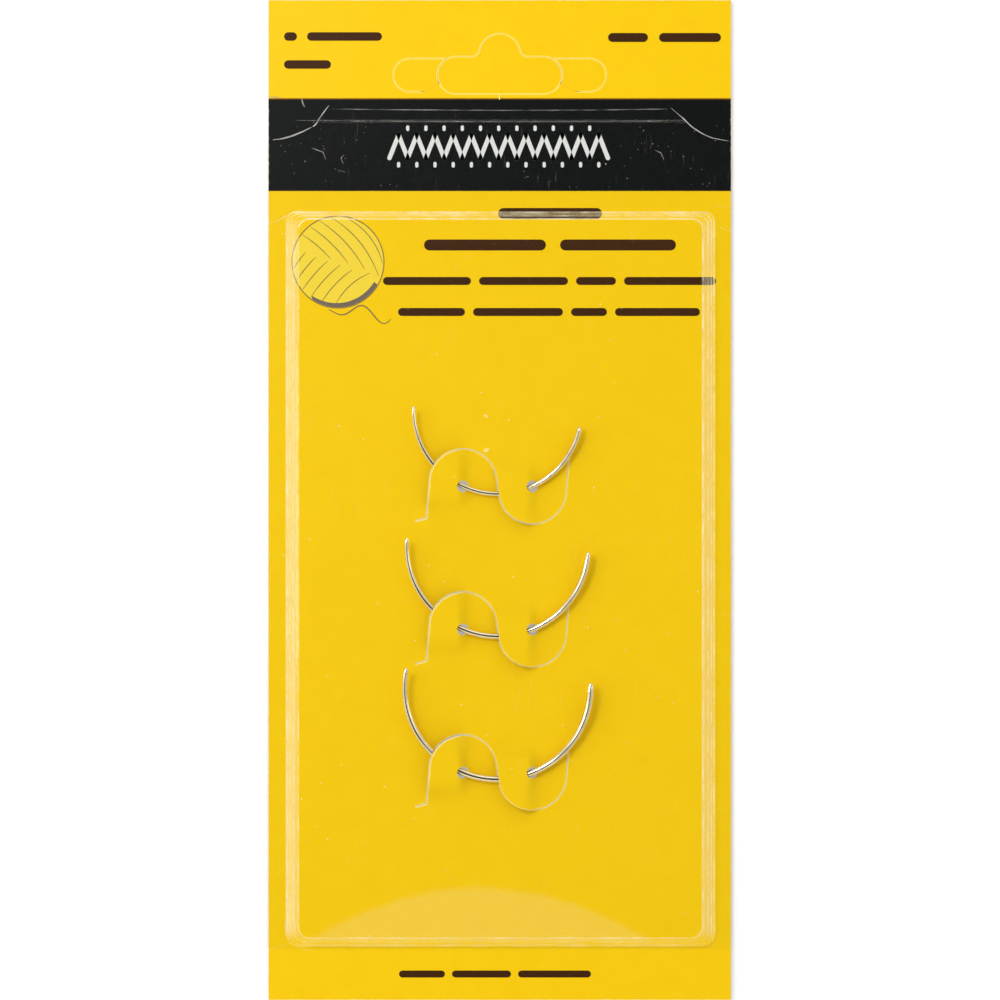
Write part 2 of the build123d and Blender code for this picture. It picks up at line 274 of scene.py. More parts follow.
def film_material(name):
    """Clear vacuum-formed film: see-through and glossy, with scuffs, dust, a painted sheen on its walls and a
    painted reflection near its foot.
    """
    s = Shader(name)
    place, normal = s.place()
    x, y, _ = s.split(place)
    _, across, up = s.split(normal)

    # Hairline scuffs in two directions, broken up by a broad noise, and specks of dust
    scuff = s.either(*(
        s.ramp(s.noise(s.stretched(place, scale, turn), 5.0, 2.0, 0.5), 0.71, 0.76)
        for scale, turn in (((1.1, 0.05, 1), 0.35), ((0.9, 0.04, 1), -0.9))
    ))
    scuff = s.times(scuff, s.ramp(s.noise(place, 0.12, 3.0, 0.6), 0.5, 0.66))
    specks = s.node("TexVoronoi", {"Vector": place, "Scale": 0.42, "Randomness": 1.0}).outputs["Distance"]
    dust = s.times(s.ramp(specks, 0.03, 0.05, 1.0, 0.0), s.ramp(s.noise(place, 0.3, 2.0), 0.52, 0.56))

    # Painted sheen: a pale veil on the steep walls, above all those at the sides and below the black band
    steep = s.ramp(s.math("ABSOLUTE", up), 0.3, 0.97, 1.0, 0.0)
    side_wall_sheen = s.ramp(s.math("ABSOLUTE", across), 0.2, 0.7, 1.0, 0.1)
    streak = s.ramp(s.noise(s.stretched(place, (0.6, 0.1, 1.0)), 2.2, 4.0, 0.7), 0.3, 0.7, 0.5, 1.3)
    wall_sheen = s.times(s.times(steep, streak), s.ramp(y, 50.0, 52.0, 0.15, 0.012))
    dust_scuffs_and_sheen = s.plus(s.times(wall_sheen, side_wall_sheen), s.times(scuff, 0.1))

    # A pale arch near the panel's foot, painted as the reflection of a lamp in the bowed film
    bow = s.times(s.math("POWER", s.plus(x, 3.0), 2.0), 0.0125)
    above = s.plus(s.plus(y, bow), s.times(s.noise(place, 0.4), 0.9))
    painted_arch_reflection = s.times(s.ramp(above, -56.9, -55.3, 1.0, 0.0, True), s.ramp(y, -64.6, -64.2))
    dust_scuffs_and_sheen = s.plus(dust_scuffs_and_sheen, s.times(painted_arch_reflection, 0.032))
    dust_scuffs_and_sheen = s.plus(dust_scuffs_and_sheen, s.times(dust, 0.5), clamp=True)

    bump = s.bump(s.plus(s.noise(place, 0.16, 2.0, 0.4), s.times(scuff, 0.01)), 0.25 * MM, 0.5)
    clear = s.node("BsdfTransparent", {"Color": (0.995, 0.998, 0.995, 1)})
    gloss = s.node("BsdfGlossy", {"Color": WHITE, "Roughness": 0.07, "Normal": bump})
    dull = s.node("BsdfDiffuse", {"Color": (1.0, 0.94, 0.76, 1)})

    # The gloss is on the outer faces alone, and weaker on the walls
    seen = s.minus(1.0, s.unseen())
    outside = s.minus(1.0, s.node("NewGeometry").outputs["Backfacing"])
    share = s.times(s.node("Fresnel", {"IOR": 1.5, "Normal": bump}).outputs[0], outside)
    share = s.times(s.times(share, seen), s.ramp(steep, 0.0, 1.0, 1.0, 0.3))
    pane = s.node("MixShader", {0: share, 1: clear.outputs[0], 2: gloss.outputs[0]})
    # The pale layer holds the dust and scuffs, and the painted sheen and reflection
    mixed = s.node("MixShader", {0: s.times(dust_scuffs_and_sheen, seen), 1: pane.outputs[0], 2: dull.outputs[0]})
    return s.finish(mixed.outputs[0])


def painted_highlight_material(name, low, high, faint, strong):
    """Painted highlights on the film where it bends or was cut, in broken streaks that fade at the foot."""
    s = Shader(name)
    place, _ = s.place()
    streak = s.ramp(s.noise(place, 0.35, 2.0, 0.5), 0.32, 0.68, low, high)
    streak = s.times(streak, s.ramp(s.split(place)[1], -65.0, -62.5, 0.45, 1.0))
    clear = s.node("BsdfTransparent")
    pale = s.node("BsdfPrincipled", {
        "Base Color": s.mix(streak, faint, strong),
        "Roughness": s.ramp(streak, 0.0, 1.0, 0.5, 0.3),
        "Specular IOR Level": 0.2,
        "Normal": s.bump(s.noise(place, 3.0, 3.0), 0.01 * MM, 0.4),
    })
    share = s.times(streak, s.minus(1.0, s.unseen()))
    mixed = s.node("MixShader", {0: share, 1: clear.outputs[0], 2: pale.outputs[0]})
    return s.finish(mixed.outputs[0])


def link(obj):
    """Put an object into the scene."""
    bpy.context.scene.collection.objects.link(obj)
    return obj


def make(name, points, faces, body, material, smooth=False):
    """A mesh piece from points in millimetres, riding on a CAD body."""
    mesh = bpy.data.meshes.new(name)
    mesh.from_pydata([tuple(c * MM for c in p) for p in points], [], faces)
    mesh.validate()
    mesh.update()
    if smooth:
        mesh.polygons.foreach_set("use_smooth", [True] * len(mesh.polygons))
    mesh.materials.append(material)
    piece = link(bpy.data.objects.new(name, mesh))
    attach(piece, body)
    return piece


class Plates:
    """Thin flat shapes gathered into one mesh, such as a layer of ink."""

    def __init__(self, low, high):
        self.low, self.high = low, high
        self.points, self.faces = [], []

    def outline(self, outline):
        """A filled convex outline, counter-clockwise."""
        n, start = len(outline), len(self.points)
        self.points += [(x, y, self.low) for x, y in outline]
        self.points += [(x, y, self.high) for x, y in outline]
        self.faces.append([start + n + i for i in range(n)])
        self.faces.append([start + i for i in reversed(range(n))])
        for i in range(n):
            j = (i + 1) % n
            self.faces.append([start + i, start + j, start + n + j, start + n + i])

    def bar(self, a, b, width):
        """A straight bar with round ends."""
        turn = math.degrees(math.atan2(b[1] - a[1], b[0] - a[0]))
        self.outline(arc(b, width / 2, turn - 90, turn + 90, 8) + arc(a, width / 2, turn + 90, turn + 270, 8))

    def stroke(self, path, width, ends=1.0):
        """A line of the given width along a path, thinning at its ends to a share of it."""
        n, start = len(path), len(self.points)
        path = [Vector(p) for p in path]
        for level in (self.low, self.high):
            for i, p in enumerate(path):
                side = left_of(path, i)
                share = min(1.0, ends + (1 - ends) * min(i, n - 1 - i) / max(1, 0.25 * n))
                for sign in (-1, 1):
                    q = p + side * (sign * width * share / 2)
                    self.points.append((q.x, q.y, level))
        for i in range(n - 1):
            low, high = start + 2 * i, start + 2 * n + 2 * i
            self.faces.append([high, high + 2, high + 3, high + 1][::-1])
            self.faces.append([low, low + 1, low + 3, low + 2][::-1])
            self.faces.append([low, low + 2, high + 2, high][::-1])
            self.faces.append([low + 1, high + 1, high + 3, low + 3][::-1])
        self.faces.append([start, start + 2 * n, start + 2 * n + 1, start + 1][::-1])
        end = start + 2 * (n - 1)
        self.faces.append([end, end + 1, end + 2 * n + 1, end + 2 * n][::-1])

    def piece(self, name, body, material):
        make(name, self.points, self.faces, body, material)


def arc(centre, radius, start, end, steps=24):
    """Points round part of a circle, with angles in degrees."""
    out = []
    for i in range(steps + 1):
        angle = math.radians(start + (end - start) * i / steps)
        out.append((centre[0] + radius * math.cos(angle), centre[1] + radius * math.sin(angle)))
    return out


def left_of(path, i):
    """The direction to the left of a path's way at one of its points."""
    along = (path[min(i + 1, len(path) - 1)] - path[max(i - 1, 0)]).normalized()
    return Vector((-along.y, along.x))


# Print on the card's face
INK_LOW, INK_HIGH = CARD_FACE - 0.004, CARD_FACE + 0.012

brown = ink_material("brown_ink", (0.04, 0.012, 0.002), (0.062, 0.021, 0.003))
white = ink_material("white_ink", (0.7, 0.7, 0.66), (0.8, 0.8, 0.77))
grey_line = ink_material("grey_line_ink", (0.2, 0.13, 0.05), (0.3, 0.2, 0.07))
grey_fill = ink_material("grey_ink", (0.15, 0.11, 0.09), (0.21, 0.16, 0.12))
pale_fill = ink_material("pale_yellow_ink", (0.9, 0.64, 0.035), (0.94, 0.7, 0.06))

# Words are greeked: plain round-ended bars as long and as heavy as each word
words = Plates(INK_LOW, INK_HIGH)
for y, tall, spans in (
    (36.5, 8.5, ((284, 297), (307, 382))),
    (64.5, 8.5, ((284, 331),)),
    (37.5, 9.0, ((608, 648), (659, 721))),
    (213.5, 11.0, ((498, 602),)),
    (245.0, 11.0, ((424, 546), (560, 676))),
    (281.0, 8.0, ((383, 471), (479, 568), (576, 616), (624, 716))),
    (312.0, 8.0, ((398, 465), (473, 563), (571, 607), (615, 700))),
    (974.0, 7.0, ((399, 445), (452, 511), (518, 591))),
):
    for left, right in spans:
        a, b = photo(left, y), photo(right, y)
        radius = tall * PX / 2
        words.bar((a.x + radius, a.y), (b.x - radius, b.y), tall * PX)
words.piece("print_words", "backing_card", brown)

# A zigzag of thread between two rows of short stitches on the black band
stitches = Plates(INK_LOW, INK_HIGH)
STITCHES, FIRST_X, STITCH_STEP, ZIGZAG_LOW, ZIGZAG_HIGH = 12, 389.5, 18.2, 158, 135
for i in range(STITCHES):
    x = FIRST_X + STITCH_STEP * i
    top, end = x + STITCH_STEP / 2, x + STITCH_STEP
    stitches.bar(photo(x, ZIGZAG_LOW), photo(top, ZIGZAG_HIGH), 4.4 * PX)
    stitches.bar(photo(top, ZIGZAG_HIGH), photo(end, ZIGZAG_LOW), 4.4 * PX)
    stitches.bar(photo(top, 163.5), photo(top, 166), 3.2 * PX)
    if i:
        stitches.bar(photo(x, 127), photo(x, 129.5), 3.2 * PX)
stitches.piece("print_stitches", "backing_card", white)

# A ball of yarn with a loose end, in thin outline over pale fills
ball = photo(338, 262)
ball_radius = 46 * PX
fills = Plates(INK_LOW - 0.004, CARD_FACE + 0.004)
fills.outline(arc(ball, ball_radius, 0, 360, 60)[:-1])
fills.piece("print_ball_fill", "backing_card", pale_fill)
lines = Plates(INK_LOW, INK_HIGH)
lines.stroke(arc(ball, ball_radius, 0, 360, 72), 1.1 * PX)

# Two windings of bowed strands meet along a slanting line through the ball
for tilt, side in ((-52, 1), (38, -1)):
    cos, sin = math.cos(math.radians(tilt)), math.sin(math.radians(tilt))
    for k in range(-3, 4):
        offset = k * 0.24 * ball_radius
        half = math.sqrt(ball_radius**2 - offset**2) * 0.97
        run = []
        for i in range(25):
            t = -1 + 2 * i / 24
            u, v = t * half, offset + 0.16 * ball_radius * (1 - t * t)
            x, y = u * cos - v * sin, u * sin + v * cos
            if math.hypot(u, v) < ball_radius * 0.985 and (y + 0.35 * x) * side > 0:
                run.append((ball.x + x, ball.y + y))
        if len(run) > 3:
            lines.stroke(run, 0.9 * PX, 0.5)
tail = []
for i in range(49):
    t = i / 48
    drop = 1.03 + 0.22 * math.sin(t * 9.0) * (0.3 + 0.7 * t) + 0.12 * t
    tail.append((ball.x - ball_radius * 0.2 + t * 62 * PX, ball.y - ball_radius * drop))
lines.stroke(tail, 1.4 * PX, 0.6)
lines.piece("print_ball_lines", "backing_card", grey_line)
shade = Plates(INK_LOW, CARD_FACE + 0.009)
outer = arc(ball, ball_radius * 0.985, 235, 330, 30)
inner = arc((ball.x - 0.22, ball.y + 0.42), ball_radius * 0.955, 236, 329, 30)
for i in range(30):
    shade.outline([outer[i], outer[i + 1], inner[i + 1], inner[i]])
shade.piece("print_ball_shade", "backing_card", grey_fill)


def tree_of(node):
    """A search tree over the faces of a CAD node."""
    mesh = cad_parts[node].data
    corners = [v.co.copy() for v in mesh.vertices]
    return BVHTree.FromPolygons(corners, [tuple(p.vertices) for p in mesh.polygons])


card_tree = tree_of("backing_card")
film_tree = tree_of("blister_cover")
ABOVE_ALL = 20.0


def height(tree, x, y, lowest, fallback):
    """How high a CAD node reaches at a place, or the fallback where that is nowhere or too low."""
    hit = tree.ray_cast(Vector((x, y, ABOVE_ALL)) * MM, Vector((0, 0, -1)))[0]
    return fallback if hit is None or hit.z / MM < lowest else hit.z / MM


def surface(x, y, fallback):
    """The height of the card's face at a place, or the fallback over a cut."""
    return height(card_tree, x, y, CARD_FACE - 0.05, fallback)


def resample(path, pitch):
    """Points at an even pitch along a path."""
    out, left = [Vector(path[0])], pitch
    for a, b in zip(path, path[1:]):
        a, b = Vector(a), Vector(b)
        run = (b - a).length
        at = left
        while at <= run:
            out.append(a.lerp(b, at / run))
            at += pitch
        left = at - run
    return out


SUNK = 0.03
RIDGE_PITCH, STREAK_PITCH = 0.12, 0.5


def ridge(path, side, near, far, level=None, rise=0.022):
    """A thin ridge beside a path, from near to far on one side: 1 is left of its way.

    It lies at the level given, or else on the card's face beside the cut.
    """
    path = resample(path, RIDGE_PITCH)
    rows, last = [], CARD_FACE
    for i, p in enumerate(path):
        out = left_of(path, i) * side
        wobble = 1 + 0.4 * (random.random() - 0.5)
        q = p + out * (near + (far - near) * wobble)
        if level is None:
            probe = p + out * (KERF / 2 + 0.05)
            here = last = surface(probe.x, probe.y, last)
            edge = surface(q.x, q.y, here)
        else:
            here = edge = level
        a, crest = p + out * near, p + out * ((near + far) / 2)
        rows.append([
            (a.x, a.y, here - SUNK),
            (a.x, a.y, here + rise * 0.6),
            (crest.x, crest.y, (here + edge) / 2 + rise * wobble),
            (q.x, q.y, edge + 0.002),
            (q.x, q.y, edge - SUNK),
        ])
    faces = []
    for i in range(len(rows) - 1):
        for j in range(5):
            k = (j + 1) % 5
            face = [5 * i + j, 5 * i + k, 5 * i + 5 + k, 5 * i + 5 + j]
            faces.append(face if side > 0 else face[::-1])
    first = [4, 3, 2, 1, 0] if side > 0 else [0, 1, 2, 3, 4]
    faces.append(first)
    faces.append([5 * (len(rows) - 1) + j for j in reversed(first)])
    return [p for row in rows for p in row], faces


def gather(name, parts, body, material, smooth=False):
    """One piece from several lists of points and faces."""
    points, faces = [], []
    for some, more in parts:
        start = len(points)
        points += some
        faces += [[start + i for i in face] for face in more]
    make(name, points, faces, body, material, smooth)


# Pale cut lines: torn fibre and the board's pale core, with a painted highlight where the raised edges catch
# the light
fibre_and_highlight = fibre_and_highlight_material("torn_fibre_and_edge_highlight", (1.0, 0.73, 0.1), (1.0, 0.83, 0.33))
fine_fibre_and_highlight = fibre_and_highlight_material("creased_print_and_edge_highlight", (1.0, 0.69, 0.04), (1.0, 0.8, 0.17))

# The CAD's values for the rows: half the distance between two tongues across and along the card,
# the rows' shift, and how far a tongue's root flares. A needle has its diameter, length, radius of
# bend, the angle of its point and the place of its row.
REACH, STAGGER, SHIFT, FLARE = 5.1, 0.55, -0.3, 0.45
tongue = 0.97 * math.hypot(REACH, STAGGER)
root = STAGGER + 0.82 * tongue
corner = REACH + tongue + FLARE
neck = math.degrees(math.acos(0.97) - math.atan2(STAGGER, REACH))
needles = {
    "needle_size_24": (0.76, 36.8, 12.3, 177.2, 2.0),
    "needle_size_22": (0.9, 42.2, 13.3, 174.6, -19.0),
    "needle_size_20": (1.02, 46.4, 13.6, 167.6, -40.0),
}
fibre_highlights, closed = [], []
for *_, row_y in needles.values():
    path = [(-corner - 1.6, -root - 0.4), (-corner, -root)]
    path += arc((-REACH, STAGGER), tongue, 180, neck, 48)
    path += arc((REACH, -STAGGER), tongue, neck + 180, 360, 48)
    path += [(corner, root), (corner + 1.6, root + 0.4)]
    path = [(x + SHIFT, y + row_y) for x, y in path]
    for side in (-1, 1):
        closed.append(ridge(path[-2:], side, -0.03, 0.1, rise=0.006))
    path = path[:-1]
    fibre_highlights.append(ridge(path[:27], -1, 0.02, 0.26))
    fibre_highlights.append(ridge(path[26:], -1, 0.02, 0.16))
    fibre_highlights.append(ridge(path, 1, 0.05, 0.12))
gather("cut_fibre_highlight_rows", fibre_highlights, "backing_card", fibre_and_highlight)
closed_ink = ink_material("closed_cut", (0.88, 0.52, 0.004), (0.93, 0.57, 0.006))
gather("cut_closed_tails", closed, "backing_card", closed_ink)

# Hang hole: the middle flap's outline, and the left wing's slit, mirrored for the right
HANG_Y = 62.45
END, END_R = 6.425, 2.675
SLIT, SLIT_R = 13.2, 2.4
LOBE_UP, LOBE_R = 3.05, 3.0
BLEND_X, BLEND_UP, BLEND_R = 4.118, 3.875, 1.2
SLIT_BOTTOM = HANG_Y - SLIT_R
WING_FOOT_X, WING_CUT_X = -11.2, -11.7
tilt = math.degrees(math.asin((BLEND_UP - LOBE_UP) / (LOBE_R + BLEND_R)))
foot = (0, HANG_Y - END_R)
hat = [foot] + arc((END, HANG_Y), END_R, -90, 90)
hat += arc((BLEND_X, HANG_Y + BLEND_UP), BLEND_R, 270, 180 + tilt, 10)
hat += arc((0, HANG_Y + LOBE_UP), LOBE_R, tilt, 180 - tilt, 36)
hat += arc((-BLEND_X, HANG_Y + BLEND_UP), BLEND_R, 360 - tilt, 270, 10)
hat += arc((-END, HANG_Y), END_R, 90, 270) + [foot]
gather("cut_fibre_highlight_flap", [ridge(hat[6:-6], 1, -0.04, 0.09, CARD_FACE)], "hang_flap", fine_fibre_and_highlight)

meet = math.degrees(math.asin(SLIT_R / (END_R + KERF)))
crease = math.degrees(math.atan2(2.4, 4.775))
slit = [(-7.92, HANG_Y + SLIT_R)] + arc((-SLIT, HANG_Y), SLIT_R, 90, 270)
wing_end = arc((-END, HANG_Y), END_R + KERF, 180 - meet, 180 + crease)
low_card = arc((-END, HANG_Y), END_R, 182 + crease, 270, 10)
low_card += arc((END, HANG_Y), END_R, -90, -2 - crease, 10)
high_card = arc((END, HANG_Y), END_R, meet, 90, 10) + hat[26:86]
high_card += arc((-END, HANG_Y), END_R, 90, 180 - meet, 10)
wing_card = slit + [(WING_FOOT_X, SLIT_BOTTOM)]


def flipped(path):
    """The same path on the card's other half."""
    return [(-x, y) for x, y in path]


gather("cut_fibre_highlight_hang_hole", [
    ridge(low_card, -1, -0.02, 0.22, CARD_FACE),
    ridge(high_card, -1, 0.06, 0.19, CARD_FACE),
    ridge(wing_card, -1, 0.06, 0.19, CARD_FACE),
    ridge(flipped(wing_card), 1, 0.06, 0.19, CARD_FACE),
], "backing_card", fine_fibre_and_highlight)
fold = [wing_end[-1], (WING_FOOT_X, SLIT_BOTTOM)]
gather("wing_folds", [
    ridge(turn(fold), side, -0.02, 0.07, CARD_FACE, 0.006) for turn in (list, flipped) for side in (-1, 1)
], "backing_card", closed_ink)
for end, turn, way in (("left", list, 1), ("right", flipped, -1)):
    gather("cut_fibre_highlight_wing_" + end, [
        ridge(turn(slit + [(WING_CUT_X, SLIT_BOTTOM)]), way, -0.04, 0.09, CARD_FACE),
        ridge(turn(wing_end[:-2]), -way, -0.06, 0.09, CARD_FACE),
    ], "hang_wing_" + end, fine_fibre_and_highlight)
nick = Plates(CARD_FACE - 0.01, CARD_FACE + 0.02)
nick.bar((-0.05, HANG_Y - END_R - 0.3), (-0.05, HANG_Y - END_R - 0.85), 0.17)
nick.piece("cut_nick", "backing_card", fibre_and_highlight)

# The card and the cover: the CAD's own shapes, with softer shading
NEARLY_FLAT = 0.35
OPEN_RIM = 3.0


def calm_normals(mesh, share):
    """Shade faces that point nearly up or down as if they were flatter, smoothly from face to face."""
    sums = {}
    for face in mesh.polygons:
        if abs(face.normal.z) > NEARLY_FLAT:
            for v in face.vertices:
                key = (v, face.normal.z > 0)
                sums[key] = sums.get(key, Vector()) + face.normal * face.area
    normals = [None] * len(mesh.loops)
    for face in mesh.polygons:
        up = face.normal.z > 0
        for loop in face.loop_indices:
            normal = face.normal.copy()
            if abs(normal.z) > NEARLY_FLAT:
                soft = sums[(mesh.loops[loop].vertex_index, up)].normalized()
                normal = soft.lerp(Vector((0, 0, 1 if up else -1)), share).normalized()
            normals[loop] = normal
    mesh.normals_split_custom_set(normals)


def soften(work, angle):
    """Sharp edges where two faces meet at more than an angle in degrees, and at open rims."""
    for edge in work.edges:
        edge.smooth = edge.calc_face_angle(OPEN_RIM) < math.radians(angle)


def soft_copy(node, name, angle, material, calm=0):
    """The same shape as a CAD node, with shading that runs smoothly over its gentle bends."""
    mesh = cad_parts[node].data.copy()
    mesh.name = name
    work = bmesh.new()
    work.from_mesh(mesh)
    bmesh.ops.remove_doubles(work, verts=work.verts, dist=2e-6)
    soften(work, angle)
    for face in work.faces:
        face.smooth = True
    work.to_mesh(mesh)
    work.free()
    if mesh.has_custom_normals:
        mesh.attributes.remove(mesh.attributes["custom_normal"])
    mesh.materials.clear()
    mesh.materials.append(material)
    piece = link(bpy.data.objects.new(name, mesh))
    if calm:
        calm_normals(mesh, calm)
    else:
        weigh = piece.modifiers.new("weigh", "WEIGHTED_NORMAL")
        weigh.keep_sharp = True
    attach(piece, node)
    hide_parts(node)


soft_copy("backing_card", "card_board", 40, board_material("printed_board"), 0.9)
for node in ("hang_flap", "hang_wing_left", "hang_wing_right"):
    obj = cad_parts[node]
    obj.data.materials.clear()
    obj.data.materials.append(board_material(node + "_board"))
soft_copy("blister_cover", "cover_film", 35, film_material("clear_film"))


def rounded(left, top, right, bottom, radius, foot_radius):
    """A rounded outline in photo pixels, clockwise from its top left."""
    out = []
    for x, y, r, base in (
        (left + radius, top + radius, radius, 180), (right - radius, top + radius, radius, 270),
        (right - foot_radius, bottom - foot_radius, foot_radius, 0),
        (left + foot_radius, bottom - foot_radius, foot_radius, 90),
    ):
        out += arc((x, y), r, base, base + 90, 8)
    return out + out[:1]


def draped(path, width, lift=0.02):
    """A thin streak along a path of photo pixels, laid on the film, its width in pixels."""
    path = resample([photo(*q) for q in path], STREAK_PITCH)
    rows, last = [], CARD_FACE + 0.3
    for i, q in enumerate(path):
        end = min(1.0, 0.25 + min(i, len(path) - 1 - i) / 6)
        half = width * PX / 2 * end * (0.94 + 0.12 * random.random())
        row = []
        for shift in (-half, 0, half):
            # What stands above the card looks further out, so its place is found in two steps
            for _ in range(2):
                spot = (q + left_of(path, i) * shift) * (1 - (last - CARD_FACE) / EYE_ABOVE)
                last = height(film_tree, spot.x, spot.y, CARD_FACE, last)
            row.append((spot, last))
        level = max(z for _, z in row)
        for (spot, _), up in zip(row, (0.004, lift, 0.004)):
            rows.append((spot.x, spot.y, min(level + up, FILM_TOP)))
    faces = []
    for i in range(0, len(rows) - 3, 3):
        for j in (i, i + 1):
            faces.append([j + 1, j + 4, j + 3, j])
    return rows, faces


# The film's highest point, and the camera's height above the card's face
FILM_TOP = card_box[1][2] / MM - 0.002
EYE_ABOVE = 408.3
# Colours of the painted highlights on the film
WARM, WARM_WHITE = (1.0, 0.84, 0.42), (1.0, 0.96, 0.78)
COOL, COOL_WHITE = (0.8, 0.79, 0.72), (0.95, 0.94, 0.87)

# Painted highlights along the panel's walls, on the film's cut corners, and fainter painted glints along its
# lines and folds
wall_highlights = []
for inset, width in ((0.6, 1.2), (3.4, 0.7), (6.6, 0.7), (11.6, 1.3)):
    wall_highlights.append(draped(rounded(
        286.6 + inset, 212.2 + inset * 0.58, 714.6 - inset, 946.4 - inset * 0.72, 7 + inset * 0.3, 11,
    ), width))
highlight_on_walls = painted_highlight_material("film_wall_highlight", 0.2, 0.65, WARM, WARM_WHITE)
gather("film_wall_highlights", wall_highlights, "blister_cover", highlight_on_walls, smooth=True)

# The pale lines on the film's cut corners are painted highlights
cuts = [
    draped([(328.7, 105.7), (322.5, 114), (316.6, 122.5)], 1.5),
    draped([(317.5, 122), (314.5, 125.8), (311.5, 127.2)], 3.2, 0.05),
    draped([(311.5, 127.2), (303, 131.5), (292, 136), (281, 139), (270, 140)], 1.5),
    draped([(671, 108), (681.5, 117), (692, 127), (702, 133.5), (712, 138), (731, 141.5)], 0.9),
]
corner_highlight = painted_highlight_material("film_cut_edge_highlight", 0.3, 0.8, COOL, COOL_WHITE)
gather("film_cut_corner_highlights", cuts, "blister_cover", corner_highlight, smooth=True)

glints = [
    draped([(331, 109), (380, 109.6), (500, 110.4), (600, 110), (668, 109)], 0.9),
    draped([(296, 120.4), (345, 121), (500, 121.6), (690, 121)], 0.7),
    draped([(268, 222), (275, 222.5), (284, 217), (296, 211), (306, 209)], 1.2),
    draped([(714, 207), (722, 206.5), (731, 207.5)], 1.6),
    draped([(719, 226.5), (725, 230), (731, 231.5)], 1.0),
    draped([(284, 921), (285.5, 930), (288, 943)], 1.6),
    draped([(269, 948.5), (280, 946.8), (290, 944.5)], 1.3),
    draped([(296, 946), (306, 950), (318, 951.5)], 1.1),
]
glint = painted_highlight_material("film_glint", 0.02, 0.32, COOL, COOL_WHITE)
gather("film_glints", glints, "blister_cover", glint, smooth=True)

# Paper crumbs inside the cover
crumbs = Plates(CARD_FACE - 0.01, CARD_FACE + 0.06)
spots = [
    (486, 416, 2.2), (450, 501, 1.4), (486, 450, 2.8), (446, 478, 1.0), (481, 393, 1.1), (509, 420, 1.1),
    (513, 577, 1.1),
]
for _ in range(46):
    spots.append((random.uniform(305, 700), random.uniform(350, 930), random.choice((0.4, 0.5, 0.6, 0.8))))
for x, y, size in spots:
    turn = random.uniform(0, 6.28)
    spot, sides = photo(x, y), random.choice((5, 6, 7))
    ring = []
    for k in range(sides):
        a = 2 * math.pi * k / sides
        r = size * PX * random.uniform(0.7, 1.3)
        u, v = r * 1.25 * math.cos(a), r * 0.8 * math.sin(a)
        ring.append((
            spot.x + u * math.cos(turn) - v * math.sin(turn),
            spot.y + u * math.sin(turn) + v * math.cos(turn),
        ))
    if surface(spot.x, spot.y, ABOVE_ALL) < CARD_FACE + 0.01:
        crumbs.outline(ring)
crumbs.piece("paper_crumbs", "backing_card", fibre_and_highlight)

# Chips and hairlines in the black ink, none of them between the stitches
chips = Plates(INK_LOW, CARD_FACE + 0.008)
for width, ends, path in (
    (1.5, 0.4, ((301.6, 98), (302.4, 102), (304.6, 107))),
    (0.7, 0.3, ((312, 148), (317, 150), (323, 152), (326, 160))),
    (0.7, 0.3, ((344, 155), (341, 158), (343, 164))),
    (0.7, 0.3, ((268, 96), (274, 97), (281, 97.5))),
    (0.7, 0.3, ((337, 170), (345, 172))),
    (0.7, 0.3, ((655, 150), (661, 153), (664, 160))),
):
    chips.stroke([photo(*q) for q in path], width * PX, ends)
for _ in range(90):
    x, y, size = random.uniform(272, 728), random.uniform(125, 188), random.choice((0.3, 0.35, 0.45, 0.6))
    if 384 < x < 612 and 124 < y < 170:
        continue
    spot, turn = photo(x, y), random.uniform(0, 3.14)
    step = Vector((math.cos(turn), math.sin(turn))) * size * PX
    chips.stroke([spot - step, spot + step], size * PX)
grey_chip = ink_material("scratched_ink", (0.11, 0.11, 0.1), (0.55, 0.53, 0.46))
chips.piece("print_scratches", "backing_card", grey_chip)


# Needles: the CAD's stations, joined smoothly. TAPER gives places along the point's part and the
# thickness there. HEAD gives places along the head's part, the width across the bend, the thickness
# in the bend's plane and the eye's width. All are shares of the part's length or the diameter.
TAPER_PART, HEAD_START, TILT = 0.26, 0.8, 5.5
TAPER = ((0, 0.14), (0.003, 0.36), (0.012, 0.6), (0.035, 0.7), (0.28, 0.8), (0.52, 0.9), (0.76, 0.97), (1, 1))
HEAD = (
    (0, 1, 1, 0), (0.24, 1.1, 1.03, 0), (0.36, 1.2, 1.06, 0.5), (0.55, 1.3, 1.08, 0.55),
    (0.74, 1.31, 1.08, 0.5), (0.86, 1.24, 1.05, 0), (0.95, 1.08, 0.92, 0), (0.992, 0.75, 0.62, 0),
    (1, 0.3, 0.26, 0),
)
AROUND = 24
HALF_ROUND = AROUND // 2


def between(table, place, column):
    """A table's value at a place, on a straight line between its rows."""
    for low, high in zip(table, table[1:]):
        if place <= high[0]:
            t = (place - low[0]) / (high[0] - low[0])
            return low[column] + (high[column] - low[column]) * t
    return table[-1][column]


def stations():
    """Places along a needle, from 0 at its point to 1 at its crown, closer at both ends."""
    places = [TAPER_PART * t for t in (0, 0.003, 0.007, 0.012, 0.02, 0.035)]
    start = places[-1]
    places += [start + (HEAD_START - start) * i / 110 for i in range(1, 111)]
    head = {0.04 * i for i in range(1, 24)} | {0.24, 0.86, 0.94, 0.965, 0.98, 0.992, 0.997, 1.0}
    return places + [HEAD_START + (1 - HEAD_START) * t for t in sorted(head)]


